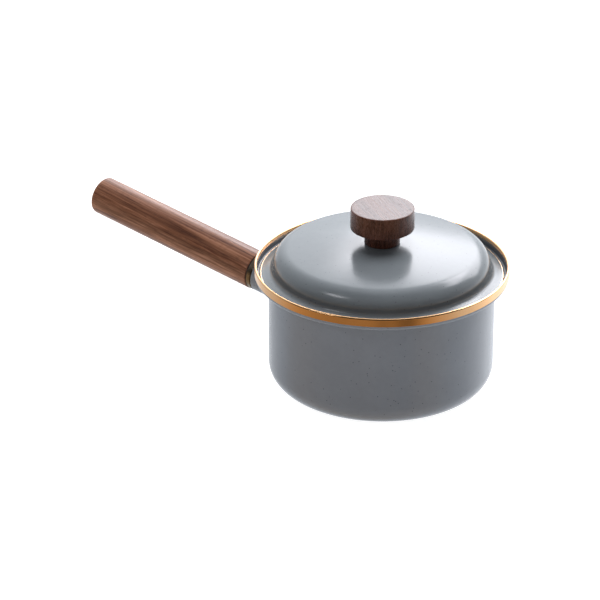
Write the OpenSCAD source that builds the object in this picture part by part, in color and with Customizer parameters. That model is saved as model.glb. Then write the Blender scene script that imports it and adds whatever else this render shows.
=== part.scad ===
// Saucepan with a lift-off lid, in enamelled steel with a walnut grip and knob.
// The pan's axis is Z, its base stands on Z = 0 and its handle points along -X.
// Lengths are in millimetres and angles in degrees.

/* [Pan] */
// Outer diameter of the pan's wall
pan_d = 160; // [140:1:200]
// Height from the base to the top of the rim
pan_h = 90; // [75:1:130]
// Thickness of the pan's enamelled sheet
pan_t = 1.2; // [1:0.1:2.5]
// Outer radius of the corner between base and wall
base_r = 16.5; // [8:0.5:20]

/* [Rim] */
// How far the rim stands out from the wall
rim_reach = 10; // [8.5:0.5:14]
// Depth of the lid's seat below the top of the rim
seat_depth = 8; // [7:0.5:12]
// Outer radius of the bend from the wall out to the seat
step_r = 2; // [1:0.25:3]
// Inner radius of the bend from the seat up to the lip
lip_bend_r = 1.5; // [0.5:0.25:2]
// Thickness of the rim band's metal
band_t = 0.4; // [0.3:0.1:0.9]
// Height of the rim band's outer leg, its round top included
band_h = 5.8; // [3:0.1:6.5]
// Height of the rim band's inner leg, its round top included
band_in_h = 2.6; // [2:0.1:4]

/* [Lid] */
// Thickness of the lid's enamelled sheet
lid_t = 1.2; // [0.8:0.1:2]
// Height of the lid's crown above its gutter
lid_rise = 22.6; // [18:0.1:32]
// Radius of the shallow crown
crown_r = 460; // [380:10:700]
// Radius of the shoulder between crown and side
shoulder_r = 13; // [6:0.5:16]
// Lean of the lid's side from upright
side_lean = 6; // [2:1:20]
// Width of the gutter, edge ring included, to the middle of its bend
gutter_w = 5.4; // [4:0.1:8]
// Radius of the bend between gutter and side
gutter_r = 4; // [1.5:0.25:5]
// Slope of the gutter, up towards the side, inside the edge ring
gutter_slope = 16; // [4:1:24]
// Diameter of the flat that the knob stands on
pad_d = 28; // [27:1:32]
// Thickness of the edge ring's metal
ring_t = 0.4; // [0.3:0.1:0.6]
// Width of the edge ring seen from above
ring_w = 1.3; // [1.2:0.1:3]
// Room between the edge ring and the rim band
rim_gap = 1.7; // [0.8:0.1:2.5]
// Room between the edge ring and the seat
seat_gap = 0.3; // [0.2:0.05:0.6]

/* [Knob] */
// Diameter of the knob's cap
knob_d = 45; // [36:1:60]
// Thickness of the knob's cap
knob_cap_h = 15.4; // [12:0.2:22]
// Diameter of the knob's stem
stem_d = 25; // [20:0.5:26]
// Height of the knob's stem
stem_h = 10.8; // [8:0.2:16]
// Rounding of the cap's two edges
knob_edge_r = 0.8; // [0.3:0.1:3]

/* [Neck] */
// Outer diameter of the neck's tube
neck_d = 27.2; // [24:0.2:28]
// Thickness of the neck's enamelled sheet
neck_t = 1.5; // [1:0.1:2]
// Length of the neck along its centreline, from the wall
neck_l = 30; // [24:1:45]
// Radius of the curve by which the neck widens to its root
flare_r = 55; // [40:1:80]
// Distance of the start of that curve from the wall
flare_l = 18; // [12:1:22]
// Height of the neck above the middle of the upright wall
neck_shift = -1.15; // [-2:0.05:2]
// Diameter of the pad plate under the neck
saddle_d = 41; // [36:1:44]
// Thickness of the pad plate
saddle_t = 1.5; // [1:0.1:2]
// Thickness of the plate that closes the neck
plate_t = 2; // [1.5:0.1:3]

/* [Handle] */
// Angle by which the handle rises from level
grip_rise = 6.9; // [0:0.1:12]
// Diameter of the wooden grip
grip_d = 28.3; // [27:0.1:34]
// Length of the wooden grip
grip_l = 152; // [110:1:190]
// Rounding of the grip's edge next to the ferrule
grip_near_r = 0.6; // [0.3:0.1:2]
// Rounding of the grip's edge at its free end
grip_end_r = 1.8; // [0.5:0.1:5]
// Outer diameter of the ferrule
ferrule_d = 27.4; // [26:0.2:28.4]
// Length of the ferrule between neck and gasket
ferrule_l = 4; // [3:0.5:8]
// Length of the ferrule's spigot inside the neck
spigot_l = 1.6; // [1:0.1:3]
// Depth of the ferrule's shadow groove
groove_d = 0.6; // [0.3:0.1:1]
// Width of the ferrule's shadow groove
groove_w = 0.8; // [0.5:0.1:1.5]
// Thickness of the gasket under the grip
gasket_t = 1; // [0.6:0.1:2]

/* [Fasteners] */
// Thread diameter of the handle's bolt
bolt_d = 6; // [5:0.5:8]
// Height of the bolt's head
bolt_head_h = 6; // [4:0.5:8]
// Depth of the recess for the bolt's head in the grip's end
recess_l = 22; // [12:1:35]
// Thickness of the washer under the bolt's head
bolt_washer_t = 1.2; // [0.8:0.1:2]
// Thickness of the bolt's spring washer
spring_washer_t = 1.5; // [1:0.1:2]
// Height of the nut behind the neck's plate
nut_h = 5; // [4:0.5:7]
// Thread diameter of the knob's screw
screw_d = 5; // [4:0.5:6]
// Height of the screw's head
screw_head_h = 3.2; // [2.5:0.1:4]
// Length of the threaded insert in the knob
insert_l = 12; // [8:0.5:16]
// Thickness of the washer between stem and lid
seat_washer_t = 0.6; // [0.4:0.1:1]
// Thickness of the fibre washer under the lid
fibre_washer_t = 1; // [0.6:0.1:1.5]
// Thickness of the steel washer under the lid
knob_washer_t = 1; // [0.6:0.1:1.5]

/* [Hidden] */

// Room between a shaft and its hole, and between a thread and its nut, on the radius
hole_room = 0.3;
thread_room = 0.05;
// Room between the ferrule's spigot and the neck, on the radius
spigot_room = 0.1;
// How far a cut runs past the faces it cuts
past = 1;
// How far the neck's curve runs on inside the wall before it is cut to the wall
flare_past = 7;
// How far the bolt's tip stands out of its nut
bolt_stick = 2;
// Wall of the threaded insert
insert_wall = 1.5;
// Room round the bolt's washer in the grip's recess
recess_room = 0.6;
// How far the gasket stays back from the grip's surface, and the seat washer from the stem's
gasket_inset = 0.8;
seat_washer_inset = 0.5;
// Flat left between the edge ring and the gutter's slope
bend_room = 0.2;
// Steps along an arc of the section
arc_steps = 12;

// Pan and rim
wall_r = pan_d / 2;
rim_r = wall_r + rim_reach;
lip_r = rim_r - band_t;
lip_c = [lip_r - pan_t / 2, pan_h - band_t - pan_t / 2];
seat_z = pan_h - seat_depth;
ledge_z = seat_z - pan_t;
ledge_r = lip_bend_r + pan_t;
band_in_r = lip_r - pan_t - band_t;

// Lid: its edge, gutter, side, shoulder and crown
edge_r = band_in_r - rim_gap;
gutter_z = seat_z + seat_gap + ring_t + lid_t;
edge_c = [edge_r - ring_t - lid_t / 2, gutter_z - lid_t / 2];
crown_z = gutter_z + lid_rise;
pad_a = asin(pad_d / 2 / crown_r);
crown_c = [0, crown_z - crown_r * cos(pad_a)];
// The gutter is flat under the ring and slopes up from gutter_bend_r inwards
gutter_bend_r = edge_r - ring_w - bend_room;
gutter_c = [edge_r - gutter_w, gutter_z + gutter_r * cos(gutter_slope)
    + (gutter_bend_r - edge_r + gutter_w + gutter_r * sin(gutter_slope)) * tan(gutter_slope)];
// The shoulder's centre is shoulder_r inside the side's line and inside the crown's arc
side_out = [cos(side_lean), sin(side_lean)];
side_up = [-sin(side_lean), cos(side_lean)];
side_start = gutter_c - (gutter_r + shoulder_r) * side_out;
side_b = side_up * (side_start - crown_c);
side_c = norm(side_start - crown_c) ^ 2 - (crown_r - shoulder_r) ^ 2;
shoulder_c = side_start + (sqrt(side_b ^ 2 - side_c) - side_b) * side_up;
shoulder_a = atan2(shoulder_c.y - crown_c.y, shoulder_c.x - crown_c.x);

// Knob and its fasteners, from the lid's crown up and down
stem_z = crown_z + seat_washer_t;
cap_z = stem_z + stem_h;
insert_d = screw_d + 2 * insert_wall;
lid_under_z = crown_z - lid_t;
knob_washer_z = lid_under_z - fibre_washer_t - knob_washer_t;
screw_head_z = knob_washer_z - screw_head_h;
screw_hole_d = screw_d + 2 * hole_room;
seat_washer_d = stem_d - 2 * seat_washer_inset;
fibre_washer_d = 3.4 * screw_d;
knob_washer_d = 3 * screw_d;
screw_head_d = 1.9 * screw_d;
cross_l = 1.1 * screw_d;
cross_w = 0.22 * screw_d;
cross_depth = 0.6 * screw_head_h;

// Handle: places along its centreline, from the wall outwards
neck_z = (base_r + ledge_z - step_r) / 2 + neck_shift;
neck_in_d = neck_d - 2 * neck_t;
flare_a = asin((flare_l + flare_past) / flare_r);
plate_at = neck_l - spigot_l - plate_t;
nut_at = plate_at - nut_h;
gasket_at = neck_l + ferrule_l;
grip_at = gasket_at + gasket_t;
grip_end = grip_at + grip_l;
recess_at = grip_end - recess_l;
spring_washer_at = recess_at + bolt_washer_t;
bolt_head_at = spring_washer_at + spring_washer_t;
bolt_tip_at = nut_at - bolt_stick;
bolt_hole_d = bolt_d + 2 * hole_room;
bolt_head_d = bolt_d + 4;
bolt_washer_d = 2 * bolt_d;
spring_washer_d = 1.85 * bolt_d;
spring_split = 0.15 * bolt_d;
nut_d = 1.92 * bolt_d;
socket_d = 0.96 * bolt_d;
socket_depth = bolt_head_h / 2;
recess_d = bolt_washer_d + 2 * recess_room;
gasket_d = grip_d - 2 * gasket_inset;

enamel = [0.44, 0.47, 0.49];
copper = [0.78, 0.54, 0.30];
pale_metal = [0.80, 0.74, 0.68];
bronze = [0.36, 0.33, 0.28];
walnut = [0.38, 0.25, 0.18];
steel = [0.70, 0.71, 0.73];
brass = [0.78, 0.64, 0.34];
fibre = [0.16, 0.12, 0.10];

// Points on the arc of radius r about c, from angle a to angle b
function arc(c, r, a, b) =
    [for (i = [0:arc_steps]) let (v = a + (b - a) * i / arc_steps) c + r * [cos(v), sin(v)]];

function reversed(points) = [for (i = [len(points) - 1:-1:0]) points[i]];

// Section of the pan's sheet, at depth t from its outer face, from the axis to the lip
function pan_face(t) = concat(
    [[0, t]],
    arc([wall_r - base_r, base_r], base_r - t, -90, 0),
    arc([wall_r + step_r, ledge_z - step_r], step_r + t, 180, 90),
    arc([lip_r - ledge_r, ledge_z + ledge_r], ledge_r - t, -90, 0));

// Section of the lid's sheet, at depth t from its top face, from the axis to the gutter's flat edge
function lid_face(t) = concat(
    [[0, crown_z - t]],
    arc(crown_c, crown_r - t, asin((crown_r * cos(pad_a) - t) / (crown_r - t)), shoulder_a),
    arc(shoulder_c, shoulder_r - t, shoulder_a, side_lean),
    arc(gutter_c, gutter_r + t, 180 + side_lean, 270 - gutter_slope),
    [[gutter_bend_r - t * tan(gutter_slope / 2), gutter_z - t]]);

// Section of the neck's sheet, at depth t from its outer face, from the ferrule to the root
function neck_face(t) = concat(
    [[neck_d / 2 - t, neck_l]],
    arc([neck_d / 2 + flare_r, flare_l], flare_r + t, 180, 180 + flare_a));

// Places its children with Z along the handle's centreline and its origin on the pan's wall
module along_handle(at = 0) {
    translate([-wall_r, 0, neck_z]) rotate([0, grip_rise - 90, 0]) translate([0, 0, at]) children();
}

// A ring or washer that stands on Z = 0
module washer(d, hole_d, t) {
    difference() {
        cylinder(d = d, h = t, $fn = 96);
        translate([0, 0, -past]) cylinder(d = hole_d, h = t + 2 * past, $fn = 96);
    }
}

// A turned bar from Z = 0 to l, with its lower and upper edges rounded by r0 and r1
module turned_bar(d, l, r0, r1) {
    rotate_extrude($fn = 128)
        polygon(concat(
            [[0, 0]],
            arc([d / 2 - r0, r0], r0, -90, 0),
            arc([d / 2 - r1, l - r1], r1, 0, 90),
            [[0, l]]));
}

module pan_shell() {
    color(enamel) rotate_extrude($fn = 180)
        polygon(concat(pan_face(0), arc(lip_c, pan_t / 2, 0, 180), reversed(pan_face(pan_t))));
}

module pan_rim_band() {
    color(copper) rotate_extrude($fn = 180)
        polygon(concat(
            [[rim_r, pan_h - band_h]],
            arc(lip_c, pan_t / 2 + band_t, 0, 180),
            [[band_in_r, pan_h - band_in_h], [band_in_r + band_t, pan_h - band_in_h]],
            arc(lip_c, pan_t / 2, 180, 0),
            [[lip_r, pan_h - band_h]]));
}

module neck_saddle() {
    color(enamel) intersection() {
        difference() {
            cylinder(r = wall_r + saddle_t, h = pan_h, $fn = 180);
            translate([0, 0, -past]) cylinder(r = wall_r, h = pan_h + 2 * past, $fn = 180);
        }
        along_handle(-saddle_d / 2) cylinder(d = saddle_d, h = saddle_d, $fn = 128);
    }
}

module handle_neck() {
    color(enamel) difference() {
        along_handle() rotate_extrude($fn = 128)
            polygon(concat(neck_face(0), reversed(neck_face(neck_t))));
        cylinder(r = wall_r + saddle_t, h = pan_h, $fn = 180);
    }
}

module neck_end_plate() {
    color(steel) along_handle(plate_at) washer(neck_in_d, bolt_hole_d, plate_t);
}

module neck_nut() {
    color(steel) along_handle(nut_at) difference() {
        cylinder(d = nut_d, h = nut_h, $fn = 6);
        translate([0, 0, -past]) cylinder(d = bolt_d + 2 * thread_room, h = nut_h + 2 * past, $fn = 96);
    }
}

module handle_ferrule() {
    color(bronze) along_handle(neck_l) difference() {
        union() {
            cylinder(d = ferrule_d - 2 * groove_d, h = ferrule_l, $fn = 128);
            translate([0, 0, groove_w]) cylinder(d = ferrule_d, h = ferrule_l - groove_w, $fn = 128);
            translate([0, 0, -spigot_l])
                cylinder(d = neck_in_d - 2 * spigot_room, h = spigot_l + groove_w, $fn = 128);
        }
        translate([0, 0, -spigot_l - past])
            cylinder(d = bolt_hole_d, h = spigot_l + ferrule_l + 2 * past, $fn = 96);
    }
}

module grip_gasket() {
    color(fibre) along_handle(gasket_at) washer(gasket_d, bolt_hole_d, gasket_t);
}

module handle_grip() {
    color(walnut) along_handle(grip_at) difference() {
        turned_bar(grip_d, grip_l, grip_near_r, grip_end_r);
        translate([0, 0, -past]) cylinder(d = bolt_hole_d, h = grip_l, $fn = 96);
        translate([0, 0, grip_l - recess_l]) cylinder(d = recess_d, h = recess_l + past, $fn = 96);
    }
}

module bolt_washer() {
    color(steel) along_handle(recess_at) washer(bolt_washer_d, bolt_hole_d, bolt_washer_t);
}

module bolt_spring_washer() {
    color(steel) along_handle(spring_washer_at) difference() {
        washer(spring_washer_d, bolt_hole_d, spring_washer_t);
        translate([0, -spring_split / 2, -past])
            cube([spring_washer_d, spring_split, spring_washer_t + 2 * past]);
    }
}

module handle_bolt() {
    color(steel) along_handle() difference() {
        union() {
            translate([0, 0, bolt_tip_at]) cylinder(d = bolt_d, h = bolt_head_at - bolt_tip_at, $fn = 96);
            translate([0, 0, bolt_head_at]) cylinder(d = bolt_head_d, h = bolt_head_h, $fn = 96);
        }
        translate([0, 0, bolt_head_at + bolt_head_h - socket_depth])
            cylinder(d = socket_d, h = socket_depth + past, $fn = 6);
    }
}

module lid_shell() {
    color(enamel) difference() {
        rotate_extrude($fn = 180)
            polygon(concat(lid_face(0), arc(edge_c, lid_t / 2, 90, -90), reversed(lid_face(lid_t))));
        translate([0, 0, lid_under_z - past])
            cylinder(d = screw_hole_d, h = lid_t + 2 * past, $fn = 96);
    }
}

module lid_edge_ring() {
    leg_r = edge_r - ring_w;
    color(pale_metal) rotate_extrude($fn = 180)
        polygon(concat(
            [[leg_r, gutter_z + ring_t]],
            arc(edge_c, lid_t / 2 + ring_t, 90, -90),
            [[leg_r, gutter_z - lid_t - ring_t], [leg_r, gutter_z - lid_t]],
            arc(edge_c, lid_t / 2, -90, 90),
            [[leg_r, gutter_z]]));
}

module lid_knob() {
    color(walnut) difference() {
        union() {
            translate([0, 0, stem_z]) cylinder(d = stem_d, h = stem_h + knob_cap_h / 2, $fn = 128);
            translate([0, 0, cap_z]) turned_bar(knob_d, knob_cap_h, knob_edge_r, knob_edge_r);
        }
        translate([0, 0, stem_z - past]) cylinder(d = insert_d, h = insert_l + past, $fn = 96);
    }
}

module knob_insert() {
    color(brass) translate([0, 0, stem_z])
        washer(insert_d, screw_d + 2 * thread_room, insert_l);
}

module knob_seat_washer() {
    color(fibre) translate([0, 0, crown_z]) washer(seat_washer_d, screw_hole_d, seat_washer_t);
}

module knob_fibre_washer() {
    color(fibre) translate([0, 0, lid_under_z - fibre_washer_t])
        washer(fibre_washer_d, screw_hole_d, fibre_washer_t);
}

module knob_washer() {
    color(steel) translate([0, 0, knob_washer_z]) washer(knob_washer_d, screw_hole_d, knob_washer_t);
}

module knob_screw() {
    color(steel) difference() {
        union() {
            translate([0, 0, screw_head_z]) cylinder(d = screw_head_d, h = screw_head_h, $fn = 96);
            translate([0, 0, knob_washer_z])
                cylinder(d = screw_d, h = stem_z + insert_l - past - knob_washer_z, $fn = 96);
        }
        for (turn = [0, 90])
            rotate(turn) translate([-cross_l / 2, -cross_w / 2, screw_head_z - past])
                cube([cross_l, cross_w, cross_depth + past]);
    }
}

pan_shell();
pan_rim_band();
neck_saddle();
handle_neck();
neck_end_plate();
neck_nut();
handle_ferrule();
grip_gasket();
handle_grip();
bolt_washer();
bolt_spring_washer();
handle_bolt();
lid_shell();
lid_edge_ring();
lid_knob();
knob_insert();
knob_seat_washer();
knob_fibre_washer();
knob_washer();
knob_screw();
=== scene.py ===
"""Looks of the saucepan and its lid: surfaces, finishes, floor, light and camera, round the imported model.

The pan's axis is Z, its base stands on Z = 0 and its handle points along -X. Sizes are in metres.
"""

import math

import bpy
import numpy as np
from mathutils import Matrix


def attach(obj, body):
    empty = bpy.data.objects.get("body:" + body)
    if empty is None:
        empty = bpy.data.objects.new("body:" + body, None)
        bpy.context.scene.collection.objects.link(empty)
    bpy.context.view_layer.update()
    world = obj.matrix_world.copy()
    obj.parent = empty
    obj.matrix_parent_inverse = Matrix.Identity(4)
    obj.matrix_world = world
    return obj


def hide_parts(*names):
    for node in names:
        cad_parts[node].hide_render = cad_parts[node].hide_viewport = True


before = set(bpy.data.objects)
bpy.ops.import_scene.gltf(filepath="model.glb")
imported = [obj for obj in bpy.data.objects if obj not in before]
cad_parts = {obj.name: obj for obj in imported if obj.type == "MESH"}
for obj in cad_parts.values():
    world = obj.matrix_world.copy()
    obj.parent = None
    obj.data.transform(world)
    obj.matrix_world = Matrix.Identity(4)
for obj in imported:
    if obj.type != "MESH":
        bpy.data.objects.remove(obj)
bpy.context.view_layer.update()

mm = 0.001

# Pan: body, stepped ledge and lip, and the band folded over the lip
pan_d = 160 * mm
pan_h = 90 * mm
pan_t = 1.2 * mm
base_r = 16.5 * mm
rim_reach = 10 * mm
seat_depth = 8 * mm
step_r = 2 * mm
lip_bend_r = 1.5 * mm
band_t = 0.4 * mm
band_h = 5.8 * mm
band_in_h = 2.6 * mm

# Lid and the ring folded round its edge
lid_t = 1.2 * mm
lid_rise = 22.6 * mm
crown_r = 460 * mm
shoulder_r = 13 * mm
side_lean = 6
gutter_w = 5.4 * mm
gutter_r = 4 * mm
gutter_slope = 16
bend_room = 0.2 * mm
pad_d = 28 * mm
ring_t = 0.4 * mm
ring_w = 1.3 * mm
rim_gap = 1.7 * mm
seat_gap = 0.3 * mm

# Knob and its fastening
knob_d = 45 * mm
knob_cap_h = 15.4 * mm
stem_d = 25 * mm
stem_h = 10.8 * mm
knob_edge_r = 0.8 * mm
screw_d = 5 * mm
insert_wall = 1.5 * mm
insert_l = 12 * mm
seat_washer_t = 0.6 * mm
hole_room = 0.3 * mm

# Handle: saddle, neck, ferrule, gasket, grip and its bolt's bore
neck_d = 27.2 * mm
neck_t = 1.5 * mm
neck_l = 30 * mm
flare_r = 55 * mm
flare_l = 18 * mm
neck_shift = -1.15 * mm
saddle_d = 41 * mm
saddle_t = 1.5 * mm
grip_rise = 6.9
grip_d = 28.3 * mm
grip_l = 152 * mm
grip_near_r = 0.6 * mm
grip_end_r = 1.8 * mm
ferrule_d = 27.4 * mm
ferrule_l = 4 * mm
spigot_l = 1.6 * mm
spigot_room = 0.1 * mm
groove_d = 0.6 * mm
groove_w = 0.8 * mm
gasket_t = 1 * mm
gasket_inset = 0.8 * mm
bolt_d = 6 * mm
recess_l = 22 * mm
recess_room = 0.6 * mm

# Softening of edges that the model leaves sharp; smaller turns than sharp_turn degrees stay as they are
sharp_turn = 35
sheet_edge = 0.2 * mm
wood_edge = 0.3 * mm
plate_edge = 0.9 * mm
weld_r = 1.4 * mm

# Worked out: pan
wall_r = pan_d / 2
rim_r = wall_r + rim_reach
lip_r = rim_r - band_t
lip_c = (lip_r - pan_t / 2, pan_h - band_t - pan_t / 2)
seat_z = pan_h - seat_depth
ledge_z = seat_z - pan_t
ledge_r = lip_bend_r + pan_t
band_in_r = lip_r - pan_t - band_t

# Worked out: lid
edge_r = band_in_r - rim_gap
gutter_z = seat_z + seat_gap + ring_t + lid_t
edge_c = (edge_r - ring_t - lid_t / 2, gutter_z - lid_t / 2)
crown_z = gutter_z + lid_rise
pad_a = math.asin(pad_d / 2 / crown_r)
crown_c = (0.0, crown_z - crown_r * math.cos(pad_a))
slope = math.radians(gutter_slope)
gutter_bend_r = edge_r - ring_w - bend_room
gutter_run = gutter_bend_r - edge_r + gutter_w + gutter_r * math.sin(slope)
gutter_c = (edge_r - gutter_w, gutter_z + gutter_r * math.cos(slope) + gutter_run * math.tan(slope))
lean = math.radians(side_lean)
side_up = np.array((-math.sin(lean), math.cos(lean)))
side_start = np.array(gutter_c) - (gutter_r + shoulder_r) * np.array((math.cos(lean), math.sin(lean)))
side_b = side_up @ (side_start - np.array(crown_c))
side_c = np.sum((side_start - np.array(crown_c)) ** 2) - (crown_r - shoulder_r) ** 2
shoulder_c = side_start + (math.sqrt(side_b ** 2 - side_c) - side_b) * side_up
shoulder_a = math.degrees(math.atan2(shoulder_c[1] - crown_c[1], shoulder_c[0] - crown_c[0]))

# Worked out: knob
stem_z = crown_z + seat_washer_t
cap_z = stem_z + stem_h
top_z = cap_z + knob_cap_h
insert_r = screw_d / 2 + insert_wall
screw_hole_r = screw_d / 2 + hole_room

# Worked out: handle, with distances along its line from the wall
neck_z = (base_r + ledge_z - step_r) / 2 + neck_shift
neck_in_r = neck_d / 2 - neck_t
gasket_at = neck_l + ferrule_l
grip_at = gasket_at + gasket_t
grip_end = grip_at + grip_l
recess_at = grip_end - recess_l
bolt_hole_r = bolt_d / 2 + hole_room
recess_r = bolt_d + recess_room
rise = math.radians(grip_rise)

# An axis to turn a section round: where it starts, then its side, across and along directions
pan_axis = (np.zeros(3), np.array((1.0, 0, 0)), np.array((0, 1.0, 0)), np.array((0, 0, 1.0)))
handle_axis = (
    np.array((-wall_r, 0, neck_z)),
    np.array((math.sin(rise), 0, math.cos(rise))),
    np.array((0, 1.0, 0)),
    np.array((-math.cos(rise), 0, math.sin(rise))),
)


# ---- lines and surfaces ----

def arc(centre, radius, start, end, steps=18):
    """Points of a circle: centre + radius (cos a, sin a), a going evenly from start to end in degrees."""
    a = np.radians(np.linspace(start, end, steps + 1))
    return np.array(centre) + radius * np.column_stack((np.cos(a), np.sin(a)))


def joined(*runs):
    """One line of points from several, without points that fall on the one before."""
    line = np.concatenate([np.atleast_2d(np.array(r, float)) for r in runs])
    far = np.linalg.norm(np.diff(line, axis=0), axis=1) > 1e-7
    return line[np.concatenate(([True], far))]


def eased(line, radius, ring=True):
    """Rounds each corner that turns more than sharp_turn with a parabola from one side to the other.

    A corner p with unit sides u and v becomes p - (1 - k)^2 d u + k^2 d v for k from 0 to 1, and one more
    point stands 1.5 d away on each side, so that the flats beside it keep their own shading.
    """
    side_in = line - np.roll(line, 1, axis=0)
    side_out = np.roll(line, -1, axis=0) - line
    long_in = np.linalg.norm(side_in, axis=1)
    long_out = np.linalg.norm(side_out, axis=1)
    side_in = side_in / long_in[:, None]
    side_out = side_out / long_out[:, None]
    turn = np.arccos(np.clip((side_in * side_out).sum(1), -1, 1))
    sharp = turn > math.radians(sharp_turn)
    if not ring:
        sharp[[0, -1]] = False
    room = 0.3 * np.minimum(long_in, long_out)
    cut = np.where(sharp, np.minimum(radius * np.tan(np.minimum(turn, 2.6) / 2), room), 0)
    k = np.linspace(0, 1, 6)
    back = np.concatenate(([1.5], (1 - k) ** 2, [0]))[None, :, None] * side_in[:, None, :]
    ahead = np.concatenate(([0], k ** 2, [1.5]))[None, :, None] * side_out[:, None, :]
    return joined((line[:, None, :] + cut[:, None, None] * (ahead - back)).reshape(-1, 2))


def spaced(line, step, ring=True):
    """Adds even points along each straight stretch that is longer than step."""
    start = line if ring else line[:-1]
    side = (np.roll(line, -1, axis=0) if ring else line[1:]) - start
    count = np.maximum(1, np.ceil(np.linalg.norm(side, axis=1) / step)).astype(int)
    which = np.repeat(np.arange(len(start)), count)
    share = (np.arange(count.sum()) - np.repeat(np.cumsum(count) - count, count)) / count[which]
    out = start[which] + share[:, None] * side[which]
    return out if ring else np.concatenate((out, line[-1:]))


def grid_faces(index, ring):
    """Four-sided faces between neighbours of a grid of points, closed round its second direction."""
    near = index if ring else index[:-1]
    far = np.roll(index, -1, axis=0) if ring else index[1:]
    corners = (near, np.roll(near, -1, axis=1), np.roll(far, -1, axis=1), far)
    return np.stack(corners, axis=-1).reshape(-1, 4).tolist()


def pole_faces(index, pole, first):
    """Triangles from one pole to its neighbouring ring of points."""
    other = np.roll(index, -1)
    pair = (other, index) if first else (index, other)
    return np.column_stack((np.full(len(index), pole), *pair)).tolist()


def turned(line, axis, ring=True, turns=256):
    """Points and faces of a section turned round an axis.

    A point (r, h) of the line goes to start + r cos a side + r sin a across + h along, for a round the full
    circle. A line that isn't a ring starts and ends on the axis, where one point closes the surface.
    """
    after = np.roll(line, -1, axis=0)
    if (line[:, 0] * after[:, 1] - after[:, 0] * line[:, 1]).sum() < 0:
        line = line[::-1]
    body = line if ring else line[1:-1]
    a = np.linspace(0, 2 * math.pi, turns, endpoint=False)
    start, side, across, along = axis
    out = np.cos(a)[:, None] * side + np.sin(a)[:, None] * across
    points = start + body[:, None, :1] * out[None] + body[:, None, 1:] * along
    points = points.reshape(-1, 3)
    index = np.arange(len(points)).reshape(len(body), turns)
    faces = grid_faces(index, ring)
    if not ring:
        poles = start + line[[0, -1], 1:] * along
        faces += pole_faces(index[0], len(points), True)
        faces += pole_faces(index[-1], len(points) + 1, False)
        points = np.concatenate((points, poles))
    return points, faces


def piece(name, shape, body, slot, finish, *nodes):
    """Puts a surface into the model as one smooth piece that rides on a body and stands for CAD nodes."""
    points, faces = shape
    mesh = bpy.data.meshes.new(name)
    mesh.from_pydata(points.tolist(), [], faces)
    mesh.polygons.foreach_set("use_smooth", np.ones(len(mesh.polygons), bool))
    mesh.materials.append(finish)
    mesh.update()
    thing = bpy.data.objects.new(name, mesh)
    bpy.context.scene.collection.objects.link(thing)
    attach(thing, body)
    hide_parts(*nodes)
    return thing


# ---- sections, as (distance from the axis, height) ----

def pan_face(t):
    """The pan's outer face at depth t: base, bend, wall, step out to the ledge, and bend up to the lip."""
    return joined(
        (0, t),
        arc((wall_r - base_r, base_r), base_r - t, -90, 0, 24),
        arc((wall_r + step_r, ledge_z - step_r), step_r + t, 180, 90, 12),
        arc((lip_r - ledge_r, ledge_z + ledge_r), ledge_r - t, -90, 0, 12),
    )


def lid_face(t):
    """The lid's upper face at depth t: flat pad, crown, shoulder, leaning side, bend and sloping gutter."""
    pad_edge = math.degrees(math.asin((crown_r * math.cos(pad_a) - t) / (crown_r - t)))
    return joined(
        (0, crown_z - t),
        arc(crown_c, crown_r - t, pad_edge, shoulder_a, 20),
        arc(shoulder_c, shoulder_r - t, shoulder_a, side_lean, 24),
        arc(gutter_c, gutter_r + t, 180 + side_lean, 270 - gutter_slope, 12),
        (gutter_bend_r - t * math.tan(slope / 2), gutter_z - t),
    )


def pan_section():
    """Outer face, half circle over the lip, and the inner face back to the axis."""
    return joined(pan_face(0), arc(lip_c, pan_t / 2, 0, 180, 12), pan_face(pan_t)[::-1])


def band_section():
    """Down the outside of the lip on one leg and down its inside on a shorter one."""
    return joined(
        (rim_r, pan_h - band_h),
        arc(lip_c, pan_t / 2 + band_t, 0, 180),
        (band_in_r, pan_h - band_in_h),
        (band_in_r + band_t, pan_h - band_in_h),
        arc(lip_c, pan_t / 2, 180, 0, 12),
        (lip_r, pan_h - band_h),
    )


def lid_section():
    """Upper face out to the rounded edge and the lower face back, with the screw's hole in the middle."""
    upper = joined((screw_hole_r, crown_z), lid_face(0)[1:])
    lower = joined((screw_hole_r, crown_z - lid_t), lid_face(lid_t)[1:])
    return joined(upper, arc(edge_c, lid_t / 2, 90, -90, 12), lower[::-1])


def ring_section():
    """A thin strip folded round the lid's edge, with one leg on the gutter and one under it."""
    leg_r = edge_r - ring_w
    return joined(
        (leg_r, gutter_z + ring_t),
        arc(edge_c, lid_t / 2 + ring_t, 90, -90),
        (leg_r, gutter_z - lid_t - ring_t),
        (leg_r, gutter_z - lid_t),
        arc(edge_c, lid_t / 2, -90, 90, 12),
        (leg_r, gutter_z),
    )


def knob_section():
    """The insert's hole, the stem's foot and side, and the cap with its rounded edges."""
    cap_r = knob_d / 2 - knob_edge_r
    return joined(
        (0, stem_z + insert_l),
        (insert_r, stem_z + insert_l),
        (insert_r, stem_z),
        (stem_d / 2, stem_z),
        (stem_d / 2, cap_z),
        arc((cap_r, cap_z + knob_edge_r), knob_edge_r, -90, 0, 8),
        arc((cap_r, top_z - knob_edge_r), knob_edge_r, 0, 90, 8),
        (0, top_z),
    )


def ferrule_section():
    """The spigot in the neck, the groove beside the neck, and the collar."""
    return np.array((
        (bolt_hole_r, neck_l - spigot_l),
        (neck_in_r - spigot_room, neck_l - spigot_l),
        (neck_in_r - spigot_room, neck_l),
        (ferrule_d / 2 - groove_d, neck_l),
        (ferrule_d / 2 - groove_d, neck_l + groove_w),
        (ferrule_d / 2, neck_l + groove_w),
        (ferrule_d / 2, gasket_at),
        (bolt_hole_r, gasket_at),
    ))


def gasket_section():
    """A flat washer a little smaller than the grip."""
    gasket_r = grip_d / 2 - gasket_inset
    return np.array((
        (bolt_hole_r, gasket_at), (gasket_r, gasket_at), (gasket_r, grip_at), (bolt_hole_r, grip_at)
    ))


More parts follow.
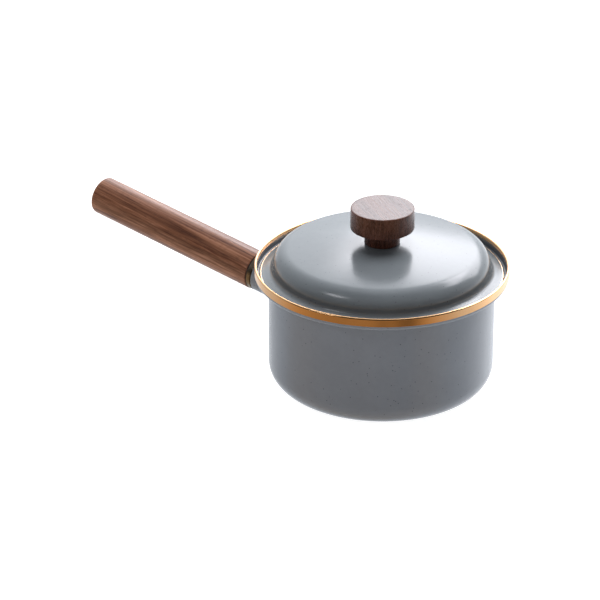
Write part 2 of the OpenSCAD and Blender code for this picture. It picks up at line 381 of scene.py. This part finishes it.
def grip_section():
    """The bolt's bore, the near face, the round bar, the far face and the recess for the bolt's head."""
    near_r = grip_d / 2 - grip_near_r
    end_r = grip_d / 2 - grip_end_r
    return joined(
        (bolt_hole_r, grip_at),
        arc((near_r, grip_at + grip_near_r), grip_near_r, -90, 0, 8),
        arc((end_r, grip_end - grip_end_r), grip_end_r, 0, 90, 12),
        (recess_r, grip_end),
        (recess_r, recess_at),
        (bolt_hole_r, recess_at),
    )


# ---- pieces that follow the wall's curve ----

def wall_reach(side, across, out):
    """Distance along the handle's line at which a line beside it meets a cylinder of radius out round Z.

    For a line at (side, across) from the handle's own, it is
    (sqrt(out^2 - across^2) - wall_r + side sin rise) / cos rise.
    """
    return (np.sqrt(out ** 2 - across ** 2) - wall_r + side * math.sin(rise)) / math.cos(rise)


def along_handle(side, across, along):
    """The point at those distances in the handle's own directions."""
    start, x, y, z = handle_axis
    return start + side[..., None] * x + across[..., None] * y + along[..., None] * z


def flare(along, t):
    """The neck's radius at depth t: straight, then opening on a circle of flare_r towards the wall."""
    near = np.minimum(along - flare_l, 0)
    return neck_d / 2 + flare_r - np.sqrt((flare_r + t) ** 2 - near ** 2)


def neck_root(a, t, more):
    """Where the neck's face at depth t, wider by more, meets the saddle, by repeating the two formulas."""
    along = np.full_like(a, saddle_t)
    for _ in range(40):
        r = flare(along, t) + more
        along = wall_reach(r * np.cos(a), r * np.sin(a), wall_r + saddle_t)
    return along


def neck(turns=192):
    """The neck as one closed surface over an angle and a place on its section.

    From the saddle: a quarter circle of weld, the flared outside, the rounded end, the inside, and back.
    """
    a = np.linspace(0, 2 * math.pi, turns, endpoint=False)
    foot = neck_root(a, 0, weld_r)
    inner_foot = neck_root(a, neck_t, 0)
    weld = np.radians(np.linspace(0, 90, 9))[:, None]
    weld_along = foot + weld_r * (1 - np.cos(weld))
    weld_out = flare(weld_along, 0) + weld_r * (1 - np.sin(weld))
    share = np.linspace(0, 1, 28)[1:, None]
    stop = neck_l - sheet_edge
    outer_along = weld_along[-1] + share * (stop - weld_along[-1])
    outer = flare(outer_along, 0)
    turn = np.radians(np.linspace(0, 90, 6))[1:, None]
    end_along = stop + sheet_edge * np.sin(turn) + 0 * a
    end = neck_d / 2 - sheet_edge * (1 - np.cos(turn)) + 0 * a
    inner_along = neck_l + share * 0 + np.linspace(0, 1, 27)[:, None] * (inner_foot - neck_l)
    inner = flare(inner_along, neck_t)
    along = np.concatenate((weld_along, outer_along, end_along, inner_along))
    r = np.concatenate((weld_out, outer, end, inner))
    points = along_handle(r * np.cos(a), r * np.sin(a), along).reshape(-1, 3)
    index = np.arange(len(points)).reshape(len(r), turns)
    return points, grid_faces(index, True)


def saddle(turns=192):
    """A round plate bent to the wall: rings of radius r at height h over it, r and h along its section.

    Each point slides along the handle's line until it is wall_r + h from the pan's axis.
    """
    edge = saddle_d / 2 - plate_edge
    rows = joined(
        (0, 0),
        np.column_stack((np.linspace(0, saddle_d / 2, 16)[1:], np.zeros(15))),
        arc((edge, saddle_t - plate_edge), plate_edge, 0, 90, 8),
        np.column_stack((np.linspace(edge, 0, 24)[1:], np.full(23, saddle_t))),
    )
    a = np.linspace(0, 2 * math.pi, turns, endpoint=False)
    body = rows[1:-1]
    side = body[:, :1] * np.cos(a)
    across = body[:, :1] * np.sin(a)
    points = along_handle(side, across, wall_reach(side, across, wall_r + body[:, 1:])).reshape(-1, 3)
    middle = along_handle(np.zeros(2), np.zeros(2), wall_reach(0, 0, wall_r + rows[[0, -1], 1]))
    index = np.arange(len(points)).reshape(len(body), turns)
    faces = grid_faces(index, False)
    faces += pole_faces(index[0], len(points), True)
    faces += pole_faces(index[-1], len(points) + 1, False)
    return np.concatenate((points, middle)), faces


# ---- finishes ----

class Finish:
    """One material, whose nodes are made by add. An input given another node's output is linked to it."""

    def __init__(self, name, **sockets):
        self.material = bpy.data.materials.new(name)
        self.material.use_nodes = True
        self.tree = self.material.node_tree
        self.tree.nodes.clear()
        self.shader = self.add("ShaderNodeBsdfPrincipled", {}, sockets)
        out = self.add("ShaderNodeOutputMaterial", {}, {})
        self.tree.links.new(self.shader.outputs[0], out.inputs["Surface"])
        self.place = self.add("ShaderNodeTexCoord", {}, {}).outputs["Object"]

    def add(self, kind, settings, inputs):
        """A new node with its settings, and its inputs by name or by number."""
        node = self.tree.nodes.new(kind)
        for key, value in settings.items():
            setattr(node, key, value)
        for key, value in inputs.items():
            key = key.replace("_", " ") if isinstance(key, str) else key
            self.give(node.inputs[key], value)
        return node

    def give(self, socket, value):
        """Links a node's output to the socket, or sets it to a colour or a number."""
        if isinstance(value, bpy.types.NodeSocket):
            self.tree.links.new(value, socket)
        elif hasattr(value, "__len__") and len(value) == 3 and socket.type == "RGBA":
            socket.default_value = (*value, 1)
        else:
            socket.default_value = value

    def set(self, name, value):
        """Gives one of the shader's own inputs its value."""
        self.give(self.shader.inputs[name], value)

    def maths(self, how, a, b=0.0, held=False):
        """One sum on two values, held between 0 and 1 if asked."""
        settings = {"operation": how, "use_clamp": held}
        return self.add("ShaderNodeMath", settings, {0: a, 1: b}).outputs[0]

    def spread(self, value, low, high, to_low=0.0, to_high=1.0):
        """value moved from the range low to high into to_low to to_high, and held there."""
        names = {0: value, 1: low, 2: high, 3: to_low, 4: to_high}
        return self.add("ShaderNodeMapRange", {"clamp": True}, names).outputs[0]

    def weighed(self, first, *rest):
        """Sum of (value, weight) pairs, each value times its weight."""
        total = self.maths("MULTIPLY", *first)
        for value, weight in rest:
            total = self.maths("ADD", total, self.maths("MULTIPLY", value, weight))
        return total

    def blend(self, share, a, b):
        """Colour a turned into colour b by share."""
        settings = {"data_type": "RGBA", "blend_type": "MIX"}
        return self.add("ShaderNodeMix", settings, {0: share, 6: a, 7: b}).outputs[2]

    def noise(self, place, scale, detail=2.0, rough=0.5, twist=0.0):
        """Soft random pattern with scale features to a metre."""
        inputs = {"Vector": place, "Scale": scale, "Detail": detail, "Roughness": rough, "Distortion": twist}
        return self.add("ShaderNodeTexNoise", {}, inputs).outputs[0]

    def cells(self, place, scale):
        """Scattered points with scale of them to a metre: distance to the nearest, and a colour for each."""
        return self.add("ShaderNodeTexVoronoi", {"feature": "F1"}, {"Vector": place, "Scale": scale})

    def shifted(self, place, move=(0, 0, 0), turn=(0, 0, 0), stretch=(1, 1, 1)):
        """Stretches a place, then turns it by angles in degrees, then moves it."""
        turn = [math.radians(x) for x in turn]
        inputs = {"Vector": place, "Location": move, "Rotation": turn, "Scale": stretch}
        return self.add("ShaderNodeMapping", {}, inputs).outputs[0]

    def split(self, place):
        """The three coordinates of a place."""
        return self.add("ShaderNodeSeparateXYZ", {}, {0: place}).outputs

    def joint_place(self, x, y, z):
        """A place from three coordinates."""
        return self.add("ShaderNodeCombineXYZ", {}, {0: x, 1: y, 2: z}).outputs[0]

    def from_axis(self, place):
        """Distance from the Z axis of a place: sqrt(x^2 + y^2)."""
        flat = self.shifted(place, stretch=(1, 1, 0))
        return self.add("ShaderNodeVectorMath", {"operation": "LENGTH"}, {0: flat}).outputs[1]

    def bump(self, height, depth, under=None):
        """A relief whose full height is depth metres, on top of another one if it is given."""
        inputs = {"Strength": 1.0, "Distance": depth, "Height": height}
        if under is not None:
            inputs["Normal"] = under
        return self.add("ShaderNodeBump", {}, inputs).outputs[0]


def enamel(name, tone, speck, worn_base):
    """Fired enamel: faintly cloudy, with sparse dark specks, an orange-peel relief and a worn base ring."""
    f = Finish(name, IOR=1.5)
    cloud = f.noise(f.place, 45, 3)
    mottle = f.noise(f.place, 260, 2)
    mixed = f.weighed((cloud, 0.65), (mottle, 0.35))
    cloudiness = 0.035
    pale = [c * (1 + cloudiness) for c in tone]
    deep = [c * (1 - cloudiness) for c in tone]
    colour = f.blend(f.spread(mixed, 0.35, 0.65), deep, pale)
    specks = f.cells(f.shifted(f.place, move=(0.013, 0.007, 0.003)), 240)
    dark = f.spread(specks.outputs["Distance"], 0.5 * speck, speck, 0.85, 0)
    colour = f.blend(dark, colour, (0.03, 0.03, 0.032))
    rough = f.spread(mottle, 0.3, 0.7, 0.19, 0.23)
    if worn_base:
        radius = f.from_axis(f.place)
        height = f.split(f.place)[2]
        low = f.spread(height, 0.2 * mm, 0.9 * mm, 1, 0)
        out = f.spread(radius, wall_r - 30 * mm, wall_r - 18 * mm)
        scuff = f.noise(f.shifted(f.place, stretch=(1, 1, 0)), 500, 4, 0.7)
        worn = f.maths("MULTIPLY", f.maths("MULTIPLY", low, out), f.spread(scuff, 0.4, 0.6))
        worn = f.maths("MULTIPLY", worn, 0.6)
        colour = f.blend(worn, colour, [c * 0.55 for c in tone])
        rough = f.maths("ADD", rough, f.maths("MULTIPLY", worn, 0.4))
    f.set("Base Color", colour)
    f.set("Roughness", rough)
    soft = f.bump(f.noise(f.place, 38, 1), 0.03 * mm)
    f.set("Normal", f.bump(f.noise(f.place, 700, 2), 0.0025 * mm, soft))
    return f.material


def spun_metal(name, colour, dull, rough, line_depth, tarnish):
    """Sheet metal formed on a lathe: fine lines round the axis in colour, gloss and relief, and tarnish."""
    f = Finish(name, Metallic=1.0)
    radius = f.from_axis(f.place)
    height = f.split(f.place)[2]
    per_metre = 9000
    rings = f.joint_place(f.maths("MULTIPLY", radius, per_metre), f.maths("MULTIPLY", height, per_metre), 0.0)
    around = f.noise(f.place, 60, 2)
    lines = f.noise(f.blend(0.004, rings, f.place), 1.0, 2, 0.6)
    shade = f.maths("MULTIPLY", f.spread(lines, 0.3, 0.7), 0.5)
    shade = f.maths("ADD", shade, f.maths("MULTIPLY", around, tarnish), held=True)
    f.set("Base Color", f.blend(shade, colour, dull))
    f.set("Roughness", f.spread(lines, 0.25, 0.75, rough - 0.05, rough + 0.07))
    f.set("Normal", f.bump(lines, line_depth, f.bump(around, 0.01 * mm)))
    return f.material


def machined(name, colour, dull, rough, grain):
    """Small turned or pressed metal and fibre parts: a cloudy tone, fine grain and a little relief."""
    soft = grain == "fibre"
    f = Finish(name, Metallic=0.0 if soft else 1.0)
    cloud = f.noise(f.place, 240, 3)
    fine = f.noise(f.place, 2600, 2, 0.7)
    shade = f.weighed((cloud, 0.6), (fine, 0.4))
    f.set("Base Color", f.blend(f.spread(shade, 0.35, 0.65), dull, colour))
    f.set("Roughness", f.spread(fine, 0.3, 0.7, rough - 0.06, rough + 0.08))
    f.set("Normal", f.bump(fine, 0.03 * mm if soft else 0.004 * mm))
    return f.material


def walnut(name, turn, streak_width, slow, deep, mid, pale, rough, level, worn_edge=None):
    """Oiled walnut with its grain along X after a turn: broad bands, streaks, fibres and short dark pores.

    Each layer is a noise whose place is squeezed along the grain, so that it is drawn out into lines, and
    squeezed by slow from below to above, as in a board cut across its growth rings.
    """
    f = Finish(name, IOR=1.45, Specular_IOR_Level=level)
    place = f.shifted(f.place, turn=turn)
    wander = f.noise(f.shifted(place, stretch=(8, 30, 30)), 1.0, 1)
    aside = f.joint_place(0.0, f.maths("MULTIPLY", wander, streak_width), 0.0)
    place = f.add("ShaderNodeVectorMath", {"operation": "ADD"}, {0: place, 1: aside}).outputs[0]
    across = 1 / streak_width
    bands = f.noise(f.shifted(place, stretch=(6, 0.2 * across, 0.2 * slow * across)), 1.0, 2, 0.55, 0.3)
    streaks = f.noise(f.shifted(place, stretch=(12, across, slow * across)), 1.0, 3, 0.6)
    fibres = f.noise(f.shifted(place, stretch=(40, 4 * across, 4 * slow * across)), 1.0, 3, 0.65)
    tone = f.weighed((bands, 0.3), (streaks, 0.45), (fibres, 0.25))
    ramp = f.add("ShaderNodeValToRGB", {}, {0: f.spread(tone, 0.4, 0.6)})
    ramp.color_ramp.elements[0].color = (*deep, 1)
    ramp.color_ramp.elements[1].color = (*pale, 1)
    middle = ramp.color_ramp.elements.new(0.5)
    middle.color = (*mid, 1)
    pores = f.cells(f.shifted(place, stretch=(170, 1700, 1700)), 1.0)
    pick = f.split(pores.outputs["Color"])[0]
    core = f.spread(pores.outputs["Distance"], 0.12, 0.3, 1, 0)
    pore = f.maths("MULTIPLY", core, f.spread(pick, 0.5, 0.6))
    colour = f.blend(f.maths("MULTIPLY", pore, 0.7), ramp.outputs[0], [c * 0.35 for c in deep])
    if worn_edge is not None:
        edge = f.maths("MULTIPLY", worn_edge(f), f.spread(fibres, 0.4, 0.6, 0.1, 0.5))
        colour = f.blend(edge, colour, [c * 1.25 for c in pale])
    f.set("Base Color", colour)
    gloss = f.spread(fibres, 0.3, 0.7, rough - 0.04, rough + 0.06)
    f.set("Roughness", f.maths("ADD", gloss, f.maths("MULTIPLY", pore, 0.2)))
    f.set("Normal", f.bump(f.maths("SUBTRACT", fibres, pore), 0.025 * mm))
    return f.material


def knob_edge(f):
    """1 near the cap's upper edge and 0 away from it."""
    radius = f.from_axis(f.place)
    height = f.split(f.place)[2]
    out = f.spread(radius, knob_d / 2 - 1.2 * mm, knob_d / 2 - 0.2 * mm)
    return f.maths("MULTIPLY", out, f.spread(height, top_z - 1.4 * mm, top_z - 0.3 * mm))


def grip_edge(f):
    """1 at the grip's free end and 0 a few millimetres up it."""
    far = f.split(f.shifted(f.place, turn=(0, -grip_rise, 0)))[0]
    end = -(wall_r * math.cos(rise) + neck_z * math.sin(rise) + grip_end)
    return f.spread(far, end + 0.5 * mm, end + 3 * mm, 1, 0)


enamel_grey = (0.137, 0.15, 0.168)
enamel_pan = enamel("enamel_pan", enamel_grey, 0.1, True)
enamel_lid = enamel("enamel_lid", (0.135, 0.151, 0.158), 0.1, False)
copper = spun_metal("rim_copper", (0.82, 0.51, 0.27), (0.62, 0.34, 0.15), 0.2, 0.002 * mm, 0.4)
pale_copper = spun_metal("ring_metal", (0.8, 0.62, 0.46), (0.58, 0.41, 0.28), 0.24, 0.002 * mm, 0.3)
bronze = machined("ferrule_bronze", (0.30, 0.25, 0.18), (0.16, 0.13, 0.095), 0.3, "metal")
steel = machined("steel", (0.62, 0.63, 0.65), (0.42, 0.43, 0.45), 0.28, "metal")
brass = machined("insert_brass", (0.78, 0.62, 0.33), (0.55, 0.42, 0.22), 0.27, "metal")
fibre = machined("fibre", (0.035, 0.026, 0.022), (0.018, 0.013, 0.011), 0.7, "fibre")
grip_wood = walnut(
    "walnut_grip", (0, -grip_rise, 1.5), 1.3 * mm, 0.8,
    (0.06, 0.019, 0.008), (0.165, 0.066, 0.033), (0.295, 0.14, 0.08), 0.32, 0.42, grip_edge,
)
knob_wood = walnut(
    "walnut_knob", (0, 0, 29.9), 0.9 * mm, 0.12,
    (0.03, 0.0085, 0.004), (0.06, 0.018, 0.009), (0.105, 0.04, 0.023), 0.27, 0.42, knob_edge,
)

# ---- pieces ----

pan_line = spaced(pan_section(), 4 * mm, False)
band_line = spaced(eased(band_section(), sheet_edge), 1 * mm)
lid_line = spaced(eased(lid_section(), sheet_edge), 3 * mm)
ring_line = spaced(eased(ring_section(), sheet_edge / 2), 1 * mm)
knob_line = spaced(eased(knob_section(), wood_edge, False), 2 * mm, False)
ferrule_line = spaced(eased(ferrule_section(), sheet_edge), 1 * mm)
gasket_line = spaced(eased(gasket_section(), sheet_edge), 1 * mm)
grip_line = spaced(eased(grip_section(), wood_edge), 3 * mm)

piece("pot", turned(pan_line, pan_axis, False), "pan", "enamel_pan", enamel_pan, "pan_shell")
piece("rim_band", turned(band_line, pan_axis, turns=360), "pan", "rim_copper", copper, "pan_rim_band")
piece("saddle_plate", saddle(), "pan", "enamel_pan", enamel_pan, "neck_saddle")
piece("neck_tube", neck(), "pan", "enamel_pan", enamel_pan, "handle_neck")
piece("ferrule", turned(ferrule_line, handle_axis), "pan", "ferrule_bronze", bronze, "handle_ferrule")
piece("gasket", turned(gasket_line, handle_axis, turns=192), "pan", "fibre", fibre, "grip_gasket")
piece("grip", turned(grip_line, handle_axis), "pan", "walnut_grip", grip_wood, "handle_grip")
piece("lid", turned(lid_line, pan_axis), "lid", "enamel_lid", enamel_lid, "lid_shell")
piece("lid_ring", turned(ring_line, pan_axis, turns=360), "lid", "ring_metal", pale_copper, "lid_edge_ring")
piece("knob", turned(knob_line, pan_axis, False), "lid", "walnut_knob", knob_wood, "lid_knob")

kept_nodes = {
    "neck_end_plate": steel,
    "neck_nut": steel,
    "bolt_washer": steel,
    "bolt_spring_washer": steel,
    "handle_bolt": steel,
    "knob_insert": brass,
    "knob_seat_washer": fibre,
    "knob_fibre_washer": fibre,
    "knob_washer": steel,
    "knob_screw": steel,
}
for name, finish in kept_nodes.items():
    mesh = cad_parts[name].data
    mesh.materials.clear()
    mesh.materials.append(finish)

# ---- floor, light and camera ----

floor_r = 6
floor_signs = ((-1, -1), (1, -1), (1, 1), (-1, 1))
floor_mesh = bpy.data.meshes.new("floor")
floor_mesh.from_pydata([(floor_r * x, floor_r * y, 0) for x, y in floor_signs], [], [(0, 1, 2, 3)])
floor = bpy.data.objects.new("floor", floor_mesh)
bpy.context.scene.collection.objects.link(floor)
floor_finish = Finish("floor_paper", Roughness=0.9)
floor_finish.set("Base Color", (0.5, 0.5, 0.5))
floor_finish.set("Emission Color", (1, 1, 1))
floor_finish.set("Emission Strength", 0.9)
floor_mesh.materials.append(floor_finish.material)
floor.visible_glossy = False

# Bearings are measured from here, close to the camera's side, and the lamps stand this far from the lid
front = math.radians(37.5)
lamp_away = 1.8


def bearing(azimuth, elevation):
    """A unit direction: azimuth in degrees to the right of the camera's side, elevation over the floor."""
    a = front + math.radians(azimuth)
    e = math.radians(elevation)
    return (math.sin(a) * math.cos(e), -math.cos(a) * math.cos(e), math.sin(e))


class Studio(Finish):
    """The room's own light, as brightness by direction."""

    def __init__(self, world):
        world.use_nodes = True
        self.tree = world.node_tree
        self.tree.nodes.clear()
        self.shader = self.add("ShaderNodeBackground", {}, {})
        out = self.add("ShaderNodeOutputWorld", {}, {})
        self.tree.links.new(self.shader.outputs[0], out.inputs["Surface"])
        self.place = self.add("ShaderNodeTexCoord", {}, {}).outputs["Generated"]

    def towards(self, azimuth, elevation):
        """Cosine of the angle from a bearing."""
        inputs = {0: self.place, 1: bearing(azimuth, elevation)}
        return self.add("ShaderNodeVectorMath", {"operation": "DOT_PRODUCT"}, inputs).outputs["Value"]

    def lobe(self, azimuth, elevation, peak, tightness):
        """A soft light: peak times e to the power of tightness times (cosine - 1)."""
        power = self.maths("MULTIPLY", self.maths("SUBTRACT", self.towards(azimuth, elevation), 1), tightness)
        return self.maths("MULTIPLY", self.maths("EXPONENT", power), peak)


world = bpy.data.worlds.new("studio")
bpy.context.scene.world = world
studio = Studio(world)
up = studio.split(studio.place)[2]
to_front = studio.towards(0, 0)
room = studio.spread(to_front, -0.3, 0.15, 0.6, 0.04)
to_left = studio.towards(-20, -27)
below = studio.spread(to_left, -0.9, 0.9, 1.4, 0.4)
dark_front = studio.maths("ADD", studio.lobe(24, -24, 0.75, 60), studio.lobe(1, -26, 0.5, 300))
below = studio.maths("MULTIPLY", below, studio.maths("SUBTRACT", 1, dark_front))
over = studio.spread(up, -0.04, 0.02)
under = studio.maths("SUBTRACT", 1, over)
light = studio.maths("ADD", studio.maths("MULTIPLY", room, over), studio.maths("MULTIPLY", below, under))
back_fill = studio.maths("MULTIPLY", studio.lobe(184, 31, 1.9, 9), over)
light = studio.maths("ADD", light, back_fill)
light = studio.maths("ADD", light, studio.lobe(130, -12, 0.8, 6))
warm = studio.maths("MULTIPLY", under, studio.spread(to_left, 0.1, 0.6))
studio.set("Color", studio.blend(warm, (0.91, 0.945, 1.0), (1.0, 0.68, 0.36)))
studio.set("Strength", light)

lamp_tint = (0.962, 0.953, 1.0)


def softbox(name, azimuth, elevation, size, radiance, mirrored=True):
    """A flat lamp at a bearing from the lid's middle and facing it, that looks as bright as radiance.

    Its power is pi times radiance times its area. One that isn't mirrored lights surfaces but leaves no
    highlight on them.
    """
    lamp = bpy.data.lights.new(name, "AREA")
    lamp.shape = "RECTANGLE"
    lamp.size = size[0]
    lamp.size_y = size[1]
    lamp.energy = math.pi * radiance * size[0] * size[1]
    lamp.color = lamp_tint
    thing = bpy.data.objects.new(name, lamp)
    thing.location = tuple(np.array((0, 0, crown_z)) + lamp_away * np.array(bearing(azimuth, elevation)))
    thing.rotation_euler = (math.pi / 2 - math.radians(elevation), 0, front + math.radians(azimuth))
    thing.visible_glossy = mirrored
    bpy.context.scene.collection.objects.link(thing)


softbox("back_softbox", 151, 31.5, (2.06, 0.7), 5.2)
softbox("right_softbox", 130, 47, (1.25, 0.4), 8.2)
softbox("front_softbox", -54, 38, (0.5, 0.22), 9.0)
softbox("top_softbox", 180, 80, (1.0, 1.0), 7.5, mirrored=False)
softbox("fill_softbox", 0, 30, (1.2, 1.2), 1.0, mirrored=False)

camera_data = bpy.data.cameras.new("camera")
camera_data.lens = 192
camera_data.sensor_width = 36
camera = bpy.data.objects.new("camera", camera_data)
camera.location = (1.2426, -1.6198, 1.0449)
camera.rotation_euler = (math.radians(64.2715), 0, math.radians(39.1110))
bpy.context.scene.collection.objects.link(camera)
bpy.context.scene.camera = camera
bpy.context.scene.view_settings.view_transform = "Standard"
